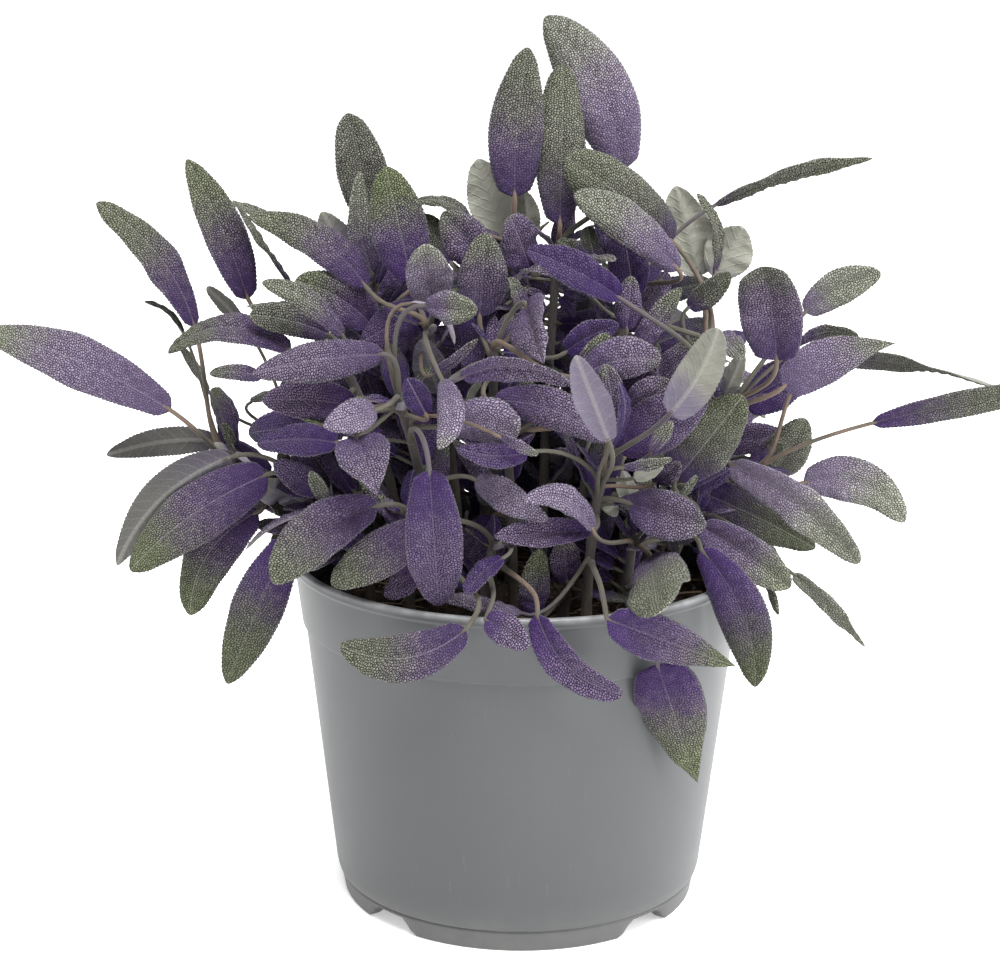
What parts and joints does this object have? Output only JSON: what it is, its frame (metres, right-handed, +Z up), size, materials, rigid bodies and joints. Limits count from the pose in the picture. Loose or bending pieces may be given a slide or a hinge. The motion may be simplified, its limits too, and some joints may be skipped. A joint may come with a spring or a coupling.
{
  "type": "potted sage",
  "caption": "Bushy purple sage with broad oval leaves on leafy shoots, some hanging over the rim, in a round grey plastic nursery pot of dark compost.",
  "frame": {"origin": "middle of the plant's outline seen from above, on the surface that the pot stands on; the pot's axis is less than 1 mm from it", "axes": "+Z up, front of the picture towards -Y, its left towards -X"},
  "size_m": [0.3024, 0.1772, 0.2513],
  "materials": {
    "grey_plastic": "satin",
    "potting_compost": "loose and crumbly",
    "sage_foliage": "soft and pebbled, purple near the shoot and grey-green at the tip"
  },
  "bodies": {
    "root": {"pot": "grey_plastic", "compost": "potting_compost", "shoot_left_far": "sage_foliage", "shoot_left_mid": "sage_foliage", "shoot_left_top": "sage_foliage", "shoot_left_inner": "sage_foliage", "shoot_left_front": "sage_foliage", "shoot_left_low": "sage_foliage", "shoot_front_left": "sage_foliage", "shoot_front_mid": "sage_foliage", "shoot_front_stub": "sage_foliage", "shoot_front_right": "sage_foliage", "shoot_mid_right": "sage_foliage", "shoot_centre_front": "sage_foliage", "shoot_centre": "sage_foliage", "shoot_centre_left": "sage_foliage", "shoot_top_left": "sage_foliage", "shoot_top_centre": "sage_foliage", "shoot_top_right": "sage_foliage", "shoot_upper_right": "sage_foliage", "shoot_right_inner": "sage_foliage", "shoot_right_mid": "sage_foliage", "shoot_right_far": "sage_foliage", "shoot_right_low": "sage_foliage", "shoot_back_left_low": "sage_foliage", "shoot_back_left": "sage_foliage", "shoot_back_low_left": "sage_foliage", "shoot_back_top": "sage_foliage", "shoot_back_mid": "sage_foliage", "shoot_back_low_right": "sage_foliage", "shoot_back_right": "sage_foliage", "shoot_back_right_low": "sage_foliage", "shoot_back_centre": "sage_foliage"}
  },
  "joints": []
}
